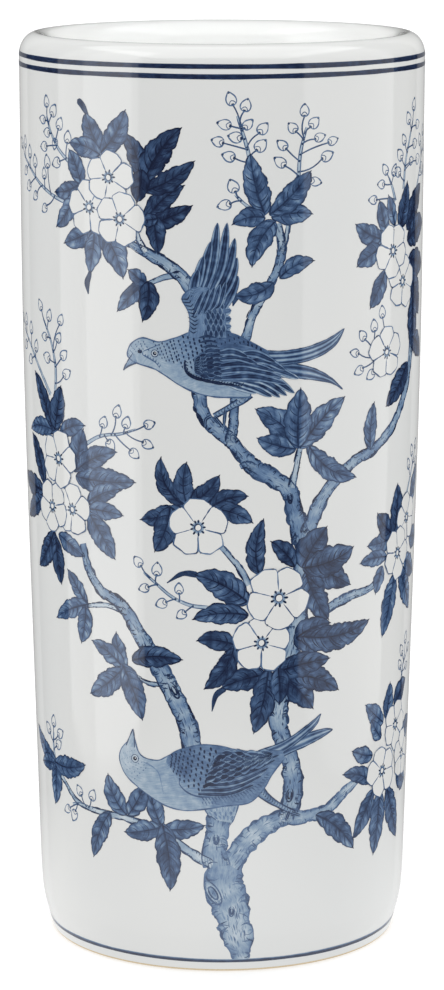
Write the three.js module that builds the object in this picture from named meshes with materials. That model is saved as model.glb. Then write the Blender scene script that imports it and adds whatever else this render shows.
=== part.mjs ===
// A glazed porcelain umbrella stand: one thrown vessel with a rolled rim, a gently tapering wall, a
// solid floor and a turned foot ring, standing on six small felt pads.
// Millimetres, +Z up. The origin is on the floor, under the middle of the stand.
import * as THREE from 'three';

// Driving dimensions
const HEIGHT = 457;             // floor to the crest of the rim, 18 inches
const RIM_RADIUS = 100.4;       // the widest place, just under the rolled rim, 8 inches across
const WALL = 7.5;               // thickness of the wall
const SEGMENTS = 72;            // flat facets around the stand

// Felt pads, stuck under the foot ring, nearer its inner edge so that they stay out of sight
const PAD_COUNT = 6;
const PAD_RADIUS = 3;
const PAD_THICKNESS = 0.5;
const PAD_MARGIN = 0.3;         // between a pad and the ring's inner edge
const PAD_SEGMENTS = 24;

// Foot ring and floor
const FOOT_INSET = 12.8;        // the foot ring's outer edge, inside the rim's radius
const RING_WIDTH = 9;           // across the bare underside of the foot ring
const RING_DEPTH = 5;           // how much higher the underside is inside the ring
const RING_CHAMFER = 3;         // between the ring's inner side and that underside
const FOOT_CHAMFER = 0.5;       // around the ring's outer edge
const FLOOR_THICKNESS = 9;
const COVE_RADIUS = 12;         // rounded corner between the wall and the floor, inside

// Heights and insets of the wall. An inset is how far the outer wall lies inside the rim's radius.
const TUCK = { z: 6.75, inset: 11.3 };       // the thin painted line runs here
const TURN = { z: 16.25, inset: 8.8 };       // half way round the turn in to the foot
const HEEL = { z: 32, inset: 7.3 };          // the wall turns in to the foot below this
const LOWER = { z: 90, inset: 5.8 };
const MIDDLE = { z: 200, inset: 2.8 };
const UPPER = { z: 310, inset: 0.5 };        // nearly upright from here to the neck
const NECK = { z: 425, inset: 0.1 };
const WIDEST = { z: 442, inset: 0 };
const WALL_DIVISIONS = 16;                   // straight steps that the outer wall's curve is cut into

// Rolled rim
const LIP_THICKNESS = 17.8;     // across the rim, outside to inside
const LIP_RISE = 11;            // from where the outside starts to turn over up to the crest
const LIP_DROP = 14;            // the rim's inner edge lies this far under its crest

const GLAZE = { color: 0xe4e5e2, roughness: 0.12, metalness: 0 };
const FELT = { color: 0xb9ae9a, roughness: 0.95, metalness: 0 };

const point = (r, z) => new THREE.Vector2(r, z);
const outside = (station) => point(RIM_RADIUS - station.inset, station.z);
const inside = (station) => point(RIM_RADIUS - station.inset - WALL, station.z);

// Points along an elliptical arc about (r, z), with its start and end in degrees.
function arc(r, z, radiusR, radiusZ, start, end, divisions) {
  const points = [];
  for (let i = 0; i <= divisions; i += 1) {
    const angle = THREE.MathUtils.degToRad(start + ((end - start) * i) / divisions);
    points.push(point(r + radiusR * Math.cos(angle), z + radiusZ * Math.sin(angle)));
  }
  return points;
}

// The foot, from the middle of the underside out to the foot ring's outer edge.
function undersideSection(undersideZ) {
  const footRadius = RIM_RADIUS - FOOT_INSET;
  const ringInner = footRadius - RING_WIDTH;
  return [
    point(0, undersideZ),
    point(ringInner - RING_CHAMFER, undersideZ),
    point(ringInner, undersideZ - RING_CHAMFER),
    point(ringInner, PAD_THICKNESS),
    point(footRadius - FOOT_CHAMFER, PAD_THICKNESS),
  ];
}

// The outer wall, from the foot ring up to the widest height.
function wallSection() {
  const footEdge = { z: PAD_THICKNESS + FOOT_CHAMFER, inset: FOOT_INSET };
  const stations = [footEdge, TUCK, TURN, HEEL, LOWER, MIDDLE, UPPER, NECK, WIDEST];
  return new THREE.SplineCurve(stations.map(outside)).getPoints(WALL_DIVISIONS);
}

// The rim, over its crest, down to its inner edge and a little way back under it.
function rimSection() {
  const lipHalf = LIP_THICKNESS / 2;
  const crestRadius = RIM_RADIUS - lipHalf;
  return [
    ...arc(crestRadius, HEIGHT - LIP_RISE, lipHalf, LIP_RISE, 0, 90, 7),
    ...arc(crestRadius, HEIGHT - LIP_DROP, lipHalf, LIP_DROP, 105, 210, 7),
  ];
}

// The inside, from under the rim down the wall, round the cove and in to the middle of the floor.
function insideSection(floorZ) {
  const coveMiddle = RIM_RADIUS - HEEL.inset - WALL - COVE_RADIUS;
  return [
    ...[NECK, UPPER, MIDDLE, LOWER].map(inside),
    ...arc(coveMiddle, floorZ + COVE_RADIUS, COVE_RADIUS, COVE_RADIUS, 0, -90, 5),
    point(0, floorZ),
  ];
}

// The vessel, turned about +Z from a section that starts and ends on the axis.
function vessel() {
  const undersideZ = PAD_THICKNESS + RING_DEPTH;
  const section = [
    ...undersideSection(undersideZ),
    ...wallSection(),
    ...rimSection(),
    ...insideSection(undersideZ + FLOOR_THICKNESS),
  ];
  const geometry = new THREE.LatheGeometry(section, SEGMENTS);
  geometry.rotateX(Math.PI / 2);
  const mesh = new THREE.Mesh(geometry, new THREE.MeshStandardMaterial(GLAZE));
  mesh.name = 'stand_body';
  return mesh;
}

// The felt pads, evenly spaced, with none straight in front.
function feltPads() {
  const pads = new THREE.Group();
  const pitchRadius = RIM_RADIUS - FOOT_INSET - RING_WIDTH + PAD_MARGIN + PAD_RADIUS;
  for (let i = 0; i < PAD_COUNT; i += 1) {
    const angle = (2 * Math.PI * i) / PAD_COUNT;
    const geometry = new THREE.CylinderGeometry(PAD_RADIUS, PAD_RADIUS, PAD_THICKNESS, PAD_SEGMENTS);
    geometry.rotateX(Math.PI / 2);
    const pad = new THREE.Mesh(geometry, new THREE.MeshStandardMaterial(FELT));
    pad.name = `felt_pad_${i + 1}`;
    pad.position.set(pitchRadius * Math.cos(angle), pitchRadius * Math.sin(angle), PAD_THICKNESS / 2);
    pads.add(pad);
  }
  return pads;
}

const umbrellaStand = new THREE.Group();
umbrellaStand.add(vessel(), feltPads());

export default umbrellaStand;
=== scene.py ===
"""A blue and white porcelain umbrella stand, painted with birds in a flowering tree.

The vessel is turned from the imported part's own section. The picture is brushwork: thin painted sheets
laid on the wall, each one a grid of points with an amount of cobalt at every point. A point of the
flat picture is a complex number, millimetres round the wall from the front plus 1j times the
millimetres above the floor. The same picture is painted twice, on the front and on the back.
"""

import math
import zlib

import bpy
import numpy as np
from mathutils import Matrix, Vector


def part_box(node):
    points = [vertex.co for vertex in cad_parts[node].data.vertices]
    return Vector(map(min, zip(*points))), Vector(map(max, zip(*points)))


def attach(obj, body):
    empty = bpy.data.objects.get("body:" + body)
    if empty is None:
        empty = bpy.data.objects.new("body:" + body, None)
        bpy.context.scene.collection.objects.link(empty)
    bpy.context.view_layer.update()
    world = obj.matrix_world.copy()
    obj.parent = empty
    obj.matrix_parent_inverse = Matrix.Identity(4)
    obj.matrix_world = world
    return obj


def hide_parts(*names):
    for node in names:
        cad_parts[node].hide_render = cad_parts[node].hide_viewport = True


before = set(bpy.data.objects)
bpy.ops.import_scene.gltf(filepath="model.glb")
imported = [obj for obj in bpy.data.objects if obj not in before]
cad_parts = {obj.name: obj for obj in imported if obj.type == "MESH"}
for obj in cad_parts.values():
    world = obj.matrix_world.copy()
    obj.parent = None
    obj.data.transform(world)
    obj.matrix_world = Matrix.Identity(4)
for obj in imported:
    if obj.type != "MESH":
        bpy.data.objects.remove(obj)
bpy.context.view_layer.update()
scene = bpy.context.scene

MM = 0.001
TURN = 2 * math.pi
SAME = 0.01                # mm: measures of the CAD mesh that differ by less count as equal


# ---------------------------------------------------------------- the vessel's section, from the frame

def section_of(mesh):
    """The (radius, height) outline in mm of a turned part, from under its middle round to over it."""
    flat = {}
    for vertex in mesh.vertices:
        x, y, z = vertex.co / MM
        if abs(x) < SAME and y < SAME:
            flat[vertex.index] = (round(-y, 3), round(z, 3))
    neighbours = {}
    for edge in mesh.edges:
        a, b = edge.vertices
        if a in flat and b in flat and flat[a] != flat[b]:
            neighbours.setdefault(flat[a], set()).add(flat[b])
            neighbours.setdefault(flat[b], set()).add(flat[a])
    here = min((p for p in neighbours if p[0] < SAME), key=lambda p: p[1])
    outline = [here]
    while True:
        ways = [p for p in neighbours[here] if p not in outline]
        if not ways:
            return np.array(outline)
        here = min(ways, key=lambda p: math.dist(p, here))
        outline.append(here)


def cut_corners(outline, rounds):
    """The outline with its corners rounded off, by cutting every corner a few times over."""
    for _ in range(rounds):
        near = 0.75 * outline[:-1] + 0.25 * outline[1:]
        far = 0.25 * outline[:-1] + 0.75 * outline[1:]
        middle = np.stack((near, far), axis=1).reshape(-1, 2)
        outline = np.vstack((outline[:1], middle, outline[-1:]))
    return outline


def outward(outline):
    """Unit normals (radial, upward) of an outline that runs anticlockwise, seen with +Z up."""
    along = np.gradient(outline, axis=0)
    normals = np.column_stack((along[:, 1], -along[:, 0]))
    return normals / np.linalg.norm(normals, axis=1)[:, None]


CAD_SECTION = section_of(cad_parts["stand_body"].data)
RIM_RADIUS = CAD_SECTION[:, 0].max()
FOOT_Z = CAD_SECTION[:, 1].min()
FOOT_CORNER = int(np.flatnonzero(CAD_SECTION[:, 1] < FOOT_Z + SAME)[-1])
CRISP = CAD_SECTION[FOOT_CORNER] - (0.4, 0)             # keeps the foot ring's outer corner tight
SECTION = cut_corners(np.insert(CAD_SECTION, FOOT_CORNER, CRISP, axis=0), 3)

CREST = int(np.argmax(SECTION[:, 1]))                   # the highest point of the rim
HEEL = int(np.argmax(SECTION[:, 0] > 0.868 * RIM_RADIUS))   # low on the foot ring's outer corner
WALL = SECTION[HEEL:CREST]
WALL_NORMALS = outward(SECTION)[HEEL:CREST]
PICTURE_RADIUS = 0.9755 * RIM_RADIUS                    # the picture is flat on a wall of this radius
HALF_ROUND = math.pi * PICTURE_RADIUS                   # mm of picture from the front to the back

# The picture's two copies, and the rings: the end of their pieces' names, and how far round they are in mm.
FRONT, BACK, ALL_ROUND = ("_front", 0.0), ("_back", HALF_ROUND), ("", 0.0)


def on_wall(points, lift):
    """Positions in metres, and normals, of flat picture points lifted off the wall by lift mm."""
    angle = points.real / PICTURE_RADIUS
    radius, out, up = (np.interp(points.imag, WALL[:, 1], values) for values in (WALL[:, 0], *WALL_NORMALS.T))
    level = radius + lift * out
    places = np.column_stack((level * np.sin(angle), -level * np.cos(angle), points.imag + lift * up))
    normals = np.column_stack((out * np.sin(angle), -out * np.cos(angle), up))
    return places * MM, normals


# ---------------------------------------------------------------- materials

def node(tree, kind, **settings):
    made = tree.nodes.new(kind)
    for name, value in settings.items():
        setattr(made, name, value)
    return made


def noise(tree, vector, scale, detail, roughness=0.5):
    made = node(tree, "ShaderNodeTexNoise")
    made.inputs["Scale"].default_value = scale
    made.inputs["Detail"].default_value = detail
    made.inputs["Roughness"].default_value = roughness
    tree.links.new(vector, made.inputs["Vector"])
    return made.outputs["Fac"]


def math_node(tree, operation, *values):
    made = node(tree, "ShaderNodeMath", operation=operation)
    for socket, value in zip(made.inputs, values):
        if isinstance(value, (int, float)):
            socket.default_value = value
        else:
            tree.links.new(value, socket)
    return made.outputs[0]


def ramp(tree, factor, stops):
    """A colour ramp whose stops are (position, linear colour)."""
    made = node(tree, "ShaderNodeValToRGB")
    elements = made.color_ramp.elements
    while len(elements) < len(stops):
        elements.new(0.5)
    for element, (position, colour) in zip(elements, stops):
        element.position = position
        element.color = (*colour, 1)
    tree.links.new(factor, made.inputs["Fac"])
    return made.outputs["Color"]


def material(name):
    made = bpy.data.materials.new(name)
    made.use_nodes = True
    tree = made.node_tree
    shader = tree.nodes["Principled BSDF"]
    place = tree.nodes.new("ShaderNodeTexCoord").outputs["Object"]
    return made, tree, shader, place


def bump(tree, shader, height, strength, distance):
    made = node(tree, "ShaderNodeBump")
    made.inputs["Strength"].default_value = strength
    made.inputs["Distance"].default_value = distance
    tree.links.new(height, made.inputs["Height"])
    tree.links.new(made.outputs["Normal"], shader.inputs["Normal"])


GLAZE_WHITE = (0.725, 0.730, 0.718)
GLAZE_COOL = (0.702, 0.713, 0.708)
GLAZE_ROUGHNESS = 0.07
GLAZE_IOR = 1.66


def glaze_surface(tree, shader, place):
    """The clear glaze: glossy, with the faint waviness that glaze has where it ran and pooled."""
    shader.inputs["Roughness"].default_value = GLAZE_ROUGHNESS
    shader.inputs["IOR"].default_value = GLAZE_IOR
    waves = noise(tree, place, 38, 1.0)
    pores = noise(tree, place, 900, 1.0)
    height = math_node(tree, "MULTIPLY_ADD", pores, 0.04, waves)
    bump(tree, shader, height, 0.12, 0.0006)


def porcelain():
    """White porcelain under clear glaze, very slightly bluer where the glaze is thick."""
    made, tree, shader, place = material("glazed_porcelain")
    glaze_surface(tree, shader, place)
    clouds = noise(tree, place, 9, 3.0)
    white = ramp(tree, clouds, [(0.35, GLAZE_WHITE), (0.7, GLAZE_COOL)])
    tree.links.new(white, shader.inputs["Base Color"])
    return made


COBALT_STOPS = [
    (0.00, GLAZE_WHITE),
    (0.12, (0.510, 0.580, 0.640)),
    (0.28, (0.285, 0.375, 0.475)),
    (0.45, (0.145, 0.230, 0.365)),
    (0.62, (0.066, 0.118, 0.228)),
    (0.78, (0.030, 0.055, 0.118)),
    (0.90, (0.018, 0.029, 0.068)),
    (1.00, (0.011, 0.016, 0.040)),
]


def cobalt_paint():
    """Cobalt under the glaze: the amount at each point, unevened by pooled pigment and brush hairs."""
    made, tree, shader, place = material("cobalt_underglaze")
    glaze_surface(tree, shader, place)
    amount = node(tree, "ShaderNodeAttribute", attribute_name="cobalt").outputs["Fac"]
    hairs = node(tree, "ShaderNodeAttribute", attribute_name="brush").outputs["Vector"]
    pooled = math_node(tree, "SUBTRACT", noise(tree, place, 260, 3.0, 0.6), 0.5)
    streaks = math_node(tree, "SUBTRACT", noise(tree, hairs, 1.0, 2.0, 0.6), 0.5)
    uneven = math_node(tree, "MULTIPLY_ADD", streaks, 0.34, math_node(tree, "MULTIPLY", pooled, 0.34))
    some = math_node(tree, "MINIMUM", math_node(tree, "MULTIPLY", amount, 3.0), 1.0)
    total = math_node(tree, "MULTIPLY_ADD", uneven, some, amount)
    tree.links.new(ramp(tree, total, COBALT_STOPS), shader.inputs["Base Color"])
    return made


def bare_clay():
    """The foot ring's wiped, unglazed edge: buff fired clay, dry and faintly gritty."""
    made, tree, shader, place = material("bare_clay")
    shader.inputs["Roughness"].default_value = 0.72
    grains = noise(tree, place, 1400, 3.0)
    colour = ramp(tree, grains, [(0.3, (0.56, 0.44, 0.27)), (0.7, (0.68, 0.56, 0.38))])
    tree.links.new(colour, shader.inputs["Base Color"])
    bump(tree, shader, grains, 0.4, 0.0002)
    return made


def wool_felt():
    """Undyed pressed felt: mottled, matt and fuzzy."""
    made, tree, shader, place = material("felt")
    shader.inputs["Roughness"].default_value = 0.95
    shader.inputs["Sheen Weight"].default_value = 0.4
    shader.inputs["Sheen Roughness"].default_value = 0.6
    fibres = noise(tree, place, 2600, 4.0, 0.7)
    colour = ramp(tree, fibres, [(0.3, (0.42, 0.36, 0.28)), (0.7, (0.58, 0.52, 0.42))])
    tree.links.new(colour, shader.inputs["Base Color"])
    bump(tree, shader, fibres, 0.8, 0.0003)
    return made


PORCELAIN = porcelain()
COBALT = cobalt_paint()
CLAY = bare_clay()
FELT = wool_felt()


# ---------------------------------------------------------------- the vessel and its pads

def turned(name, outline, around):
    """A body of revolution about +Z as one quad mesh, from an outline that starts and ends on the axis."""
    ring = np.arange(around) * TURN / around
    inner = outline[1:-1] * MM
    rows = len(inner)
    radius, height = inner[:, :1], inner[:, 1:]
    places = np.stack((radius * np.sin(ring), -radius * np.cos(ring), height + 0 * ring), axis=2)
    places = places.reshape(-1, 3).tolist()
    places += [(0, 0, outline[0, 1] * MM), (0, 0, outline[-1, 1] * MM)]
    low, high = rows * around, rows * around + 1
    faces = []
    for j in range(around):
        k = (j + 1) % around
        faces.append((low, k, j))
        faces.append((high, (rows - 1) * around + j, (rows - 1) * around + k))
        for i in range(rows - 1):
            faces.append((i * around + j, i * around + k, (i + 1) * around + k, (i + 1) * around + j))
    mesh = bpy.data.meshes.new(name)
    mesh.from_pydata(places, [], faces)
    mesh.shade_smooth()
    made = bpy.data.objects.new(name, mesh)
    scene.collection.objects.link(made)
    return made


GLAZE_LINE = FOOT_Z + 1.1          # the glaze was wiped off below this, on the foot ring
VESSEL_STEPS, PAD_STEPS = 256, 40  # flat facets around each


def vessel():
    """The porcelain body, glazed all over but for the foot ring's wiped edge and underside."""
    made = turned("porcelain_vessel", SECTION, VESSEL_STEPS)
    made.data.materials.append(PORCELAIN)
    made.data.materials.append(CLAY)
    ring_inner = 0.75 * RIM_RADIUS * MM
    for face in made.data.polygons:
        centre = face.center
        if centre.z < GLAZE_LINE * MM and math.hypot(centre.x, centre.y) > ring_inner:
            face.material_index = 1
    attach(made, "root")
    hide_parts("stand_body")


def felt_pads():
    """A soft-edged felt disc in place of each CAD pad."""
    for name in sorted(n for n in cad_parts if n.startswith("felt_pad_")):
        low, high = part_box(name)
        middle = (low + high) / 2
        radius = (high.x - low.x) / 2 / MM
        thick = (high.z - low.z) / MM
        edge = [(0.0, 0.0), (0.82, 0.0), (0.95, 0.12), (1.0, 0.45), (0.985, 0.8), (0.93, 1.0), (0.0, 1.0)]
        outline = cut_corners(np.array([(radius * r, thick * z) for r, z in edge]), 2)
        pad = turned("soft_" + name, outline, PAD_STEPS)
        pad.data.transform(Matrix.Translation((middle.x, middle.y, low.z)))
        pad.data.materials.append(FELT)
        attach(pad, "root")
        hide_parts(name)


vessel()
felt_pads()


# ---------------------------------------------------------------- brushwork

# How far each kind of paint is lifted off the wall, in mm, so that what is painted later lies on top.
LIFT = {"ring": 0.07, "branch": 0.03, "leaf": 0.07, "blossom": 0.11, "bird": 0.11}
STEP = 0.004                             # and between one sheet of a piece and the next
HAIRS_ACROSS, HAIRS_ALONG = 1.6, 0.22    # noise cells per mm of the brush hairs' streaks, each way
CURVE_STEPS = 8                          # straight steps between two knots, before a curve is respaced
DISC = np.array([1.0, 0.5, 0.0])         # the rings of a round sheet, from its edge in to its middle


class Brushwork:
    """One painted piece: sheets and strokes on the flat picture, wrapped round the wall at the end."""

    def __init__(self, name, kind, face):
        name_end, self.shift = face
        self.name = name + name_end
        self.base = LIFT[kind]
        self.level = 0
        self.random = np.random.default_rng(zlib.crc32(self.name.encode()))
        self.points, self.lifts, self.cobalt, self.brush, self.faces = [], [], [], [], []
        self.count = 0

    def sheet(self, points, cobalt):
        """Lays a grid of points, rows along the brush's way, with the amount of cobalt at each."""
        rows, columns = points.shape
        cobalt = np.broadcast_to(cobalt, points.shape)
        along = np.concatenate(([0.0], np.cumsum(np.abs(np.diff(points[:, columns // 2])))))
        across = np.abs(points - points[:, :1])
        seed = self.random.uniform(0, 90)
        lengthways = np.repeat(along[:, None], columns, 1)
        hairs = np.stack((across * HAIRS_ACROSS + seed, lengthways * HAIRS_ALONG, across * 0 + seed), 2)
        self.points.append(points.ravel())
        self.lifts.append(np.full(points.size, self.base + self.level * STEP))
        self.cobalt.append(cobalt.ravel())
        self.brush.append(hairs.reshape(-1, 3))
        index = self.count + np.arange(points.size).reshape(rows, columns)
        quads = np.stack((index[:-1, :-1], index[:-1, 1:], index[1:, 1:], index[1:, :-1]), 2).reshape(-1, 4)
        self.faces.append(facing_out(quads, self.count, points.ravel()))
        self.count += points.size

    def on_top(self):
        self.level += 1

    def stroke(self, path, width, cobalt, taper=(0.25, 0.35), wobble=0.12):
        """One brush stroke along a path, pressed hardest in the middle and lifted off at its ends."""
        steps = len(path)
        t = np.linspace(0, 1, steps)
        press = np.minimum(pressed(t, taper[0], least=0.25), pressed(1 - t, taper[1], least=0.15))
        press *= 1 + wobble * smooth_noise(self.random, steps, 0.35)
        side = sideways(path) * (0.5 * width * press)
        self.sheet(np.stack((path + side, path - side), 1), cobalt)

    def make(self):
        """The finished piece, riding on the stand."""
        places, normals = on_wall(np.concatenate(self.points) + self.shift, np.concatenate(self.lifts))
        mesh = bpy.data.meshes.new(self.name)
        mesh.from_pydata(places.tolist(), [], np.concatenate(self.faces).tolist())
        mesh.attributes.new("cobalt", "FLOAT", "POINT").data.foreach_set("value", np.concatenate(self.cobalt))
        brush = mesh.attributes.new("brush", "FLOAT_VECTOR", "POINT")
        brush.data.foreach_set("vector", np.concatenate(self.brush).ravel())
        mesh.shade_smooth()
        mesh.normals_split_custom_set_from_vertices(normals.tolist())
        mesh.materials.append(COBALT)
        made = bpy.data.objects.new(self.name, mesh)
        scene.collection.objects.link(made)
        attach(made, "root")


def pressed(t, taper, least):
    """How hard the brush presses, growing from least to 1 over the first part, taper, of a stroke."""
    if not taper:
        return np.ones(len(t))
    return least + (1 - least) * np.sin(np.clip(t / taper, 0, 1) * math.pi / 2)


def facing_out(quads, first, points):
    """The quads, each turned so that its face looks out from the wall."""
    corners = points[quads - first]
    diagonal, other = corners[:, 2] - corners[:, 0], corners[:, 3] - corners[:, 1]
    area = diagonal.real * other.imag - diagonal.imag * other.real
    return np.where(area[:, None] < 0, quads[:, ::-1], quads)


def smooth_noise(random, count, spacing):
    """Wandering values between about -1 and 1; a spacing of 1 is one new value at every point."""
    knots = max(3, int(count * spacing) + 1)
    return np.interp(np.linspace(0, knots - 1, count), np.arange(knots), random.uniform(-1, 1, knots))


def sideways(path):
    """Unit vectors to the left of a path."""
    along = np.gradient(path)
    return 1j * along / np.maximum(np.abs(along), 1e-9)


def curve(knots, spacing=1.2, values=None):
    """A smooth curve through the knots with a point about every spacing mm, and values carried along."""
    knots = np.asarray(knots, complex)
    if len(knots) == 2:
        fine = np.linspace(knots[0], knots[1], CURVE_STEPS + 1)
        where = np.linspace(0, 1, CURVE_STEPS + 1)
    else:
        padded = np.concatenate(([2 * knots[0] - knots[1]], knots, [2 * knots[-1] - knots[-2]]))
        t = np.linspace(0, 1, CURVE_STEPS, endpoint=False)
        pieces, places = [], []
        for i in range(len(knots) - 1):
            a, b, c, d = padded[i:i + 4]
            pieces.append(0.5 * (2 * b + (c - a) * t + (2 * a - 5 * b + 4 * c - d) * t ** 2
                                 + (3 * b - a - 3 * c + d) * t ** 3))
            places.append(i + t)
        fine = np.concatenate((*pieces, knots[-1:]))
        where = np.concatenate((*places, [len(knots) - 1])) / (len(knots) - 1)
    run = np.concatenate(([0.0], np.cumsum(np.abs(np.diff(fine)))))
    count = max(4, int(run[-1] / spacing) + 1)
    even = np.linspace(0, run[-1], count)
    path = np.interp(even, run, fine.real) + 1j * np.interp(even, run, fine.imag)
    if values is None:
        return path
    at = np.interp(even, run, where) * (len(values) - 1)
    return path, np.interp(at, np.arange(len(values)), values)


def bent(start, end, bend, count):
    """A path from start to end that bows to its left by bend times its length."""
    t = np.linspace(0, 1, count)
    middle = (start + end) / 2 + 2 * bend * 1j * (end - start)
    return (1 - t) ** 2 * start + 2 * t * (1 - t) * middle + t ** 2 * end


# ---------------------------------------------------------------- leaves

LEAF_ROW, LEAF_VEIN, LEAF_LOBE = 0.6, 4.2, 7     # mm of leaf to each row of points, pair of veins and lobe


def leaf(art, base, tip, width, bend=0.0, tone=0.66):
    """A broad leaf with a lobed, ragged edge: dark round the edge and along its midrib and veins."""
    random = art.random
    length = abs(tip - base)
    rows = max(22, int(length / LEAF_ROW))
    t = np.linspace(0, 1, rows)
    midrib = bent(base, tip, bend + random.uniform(-0.03, 0.03), rows)
    side = sideways(midrib)
    pairs = max(3, int(length / LEAF_VEIN))
    lobes = max(2, int(length / LEAF_LOBE))
    columns = np.linspace(0, 1, 8)
    edges = []
    for sign in (1, -1):
        half = 0.5 * width * random.uniform(0.92, 1.14)
        half = half * np.sin(math.pi * t ** random.uniform(0.74, 0.98)) ** 0.72
        phase = random.uniform(0, 1)
        ripple = np.abs(np.sin(math.pi * (lobes * t + phase))) ** 0.7
        tooth = (pairs * 1.6 * t + phase) % 1.0
        reach = half * (0.86 + 0.17 * ripple + 0.05 * tooth)
        reach += 0.2 * smooth_noise(random, rows, 0.7) * np.sin(math.pi * t)
        edge = midrib + sign * side * np.maximum(reach, 0.05)
        edges.append(edge)
        lanes = np.abs(np.sin(math.pi * (pairs * (t[:, None] - 0.16 * columns) + phase))) ** 0.8
        patches = 0.5 + 0.5 * smooth_noise(random, rows, 0.22)[:, None]
        paler = random.uniform(0.22, 0.42) * min(1.0, 2.4 - 2.1 * tone) * lanes * patches
        paler = paler * np.sin(math.pi * columns ** 1.2) ** 0.8
        rim = 0.14 * columns ** 7
        uneven = 0.07 * smooth_noise(random, rows, 0.3)[:, None]
        cobalt = tone + random.uniform(-0.04, 0.05) + 0.10 * (1 - columns) ** 1.5 + rim - paler + uneven
        art.sheet(midrib[:, None] * (1 - columns) + edge[:, None] * columns, cobalt)
    art.on_top()
    vein = min(1.0, tone + 0.20)
    for edge in edges:
        start = 0
        while start < rows - 3:
            run = int(random.uniform(6, 16))
            art.stroke(edge[start:start + run], random.uniform(0.3, 0.6), vein - 0.03, (0.2, 0.2), 0.6)
            start += run
    way = (midrib[-1] - midrib[-3]) / abs(midrib[-1] - midrib[-3])
    curl = way * np.exp(1j * random.uniform(-0.4, 0.4))
    point = midrib[-1] + np.array([-1.6 * way, -0.4 * way, 0.9 * curl])
    art.stroke(point, 1.0, vein, (0.3, 0.6))
    art.stroke(midrib[:int(rows * 0.96)], 0.045 * width + 0.3, vein, taper=(0.05, 0.9), wobble=0.3)
    for i in range(pairs):
        for edge, sweep in zip(edges, (0.12, -0.12)):
            start = 0.04 + 0.76 * i / pairs + random.uniform(-0.03, 0.03)
            a = int(max(0.0, start) * rows)
            b = min(rows - 2, int((start + random.uniform(0.14, 0.22)) * rows))
            reach = midrib[a] + random.uniform(0.6, 0.95) * (edge[b] - midrib[a])
            weight = 0.03 * width + random.uniform(0.15, 0.4)
            art.stroke(bent(midrib[a], reach, sweep, 7), weight, vein - 0.04, taper=(0.0, 0.95), wobble=0.5)
    art.on_top()


def leaves(name, rows, face):
    """A cluster of leaves, in the order in which they were painted."""
    art = Brushwork(name, "leaf", face)
    for row in rows:
        leaf(art, *row)
    art.make()


def leaf_tip(name, path, width, press, face):
    """A curled tip of a leaf, a single dark stroke. press says how much of it is thin at each end."""
    art = Brushwork(name, "leaf", face)
    art.stroke(curve(path, 0.8), width, 0.80, press)
    art.make()


# ---------------------------------------------------------------- blossoms and buds

PETALS = 5
PETAL_LINE = 0.56          # cobalt of the thin lines round the petals
STAMENS = 9
BLOSSOM_LEVELS = 14        # levels between one flower of a group and the next, which lies on it
BUD_LENGTH = 6.3           # mm
STEM_WIDTH = 1.7


def petal_outline(random, radius, direction):
    """One broad petal: straight sides out of the heart, then a blunt, slightly angular end."""
    half = math.radians(36)
    r = [random.uniform(0.96, 1.04) for _ in range(4)]
    skew = random.uniform(-0.08, 0.08)
    knots = [(0.18, -1.0), (0.46, -1.0), (0.72, -1.0), (0.80 * r[0], -0.94), (0.845 * r[0], -0.82),
             (0.925 * r[1], -0.50 + skew), (0.955 * r[1], -0.36 + skew), (0.945, 0.0),
             (0.955 * r[2], 0.36 + skew), (0.925 * r[2], 0.50 + skew),
             (0.845 * r[3], 0.82), (0.80 * r[3], 0.94), (0.72, 1.0), (0.46, 1.0), (0.18, 1.0)]
    return curve([1.04 * radius * reach * np.exp(1j * (direction + half * a)) for reach, a in knots], 0.7)


def blossom(name, centre, radius, turn, face, order):
    """A five-petalled white flower with a star of dark stamens round its small white heart."""
    art = Brushwork(name, "blossom", face)
    art.level = order * BLOSSOM_LEVELS
    random = art.random
    for k in range(PETALS):
        direction = turn + TURN * (k + random.uniform(-0.03, 0.03)) / PETALS
        outline = centre + petal_outline(random, radius * random.uniform(0.96, 1.04), direction)
        art.sheet(centre + (outline - centre)[:, None] * np.linspace(1, 0, 13), 0.0)
        art.on_top()
        art.stroke(outline[1:-1], 0.55, PETAL_LINE + random.uniform(-0.04, 0.12), (0.1, 0.1), 0.5)
        for corner in (0.28, 0.72):
            spot = outline[int((corner + random.uniform(-0.04, 0.04)) * len(outline))]
            way = np.exp(1j * (direction + random.uniform(-0.6, 0.6)))
            art.stroke(spot + 0.5 * way * np.linspace(-1, 1, 4), 0.75, 0.86)
        art.on_top()
    heart = 0.115 * radius
    around = np.exp(1j * np.linspace(0, TURN, 22))
    art.sheet(centre + around[:, None] * radius * np.array([0.215, 0.16, 0.0]), np.array([0.10, 0.40, 0.40]))
    art.on_top()
    art.sheet(centre + around[:, None] * heart * DISC, 0.0)
    art.on_top()
    art.stroke(centre + around * heart, 0.40, 0.74, taper=(0, 0))
    art.stroke(centre + around[1:12] * heart * np.exp(1j * random.uniform(0, TURN)), 0.8, 0.92)
    for k in range(STAMENS):
        direction = np.exp(1j * TURN * (k + random.uniform(-0.15, 0.15)) / STAMENS)
        inner, outer = 0.15 * radius, random.uniform(0.25, 0.31) * radius
        ray = centre + direction * np.linspace(inner, outer, 5)
        art.stroke(ray, 0.07 * radius, random.uniform(0.80, 0.96), (0.6, 0.3))
    art.make()


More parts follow.
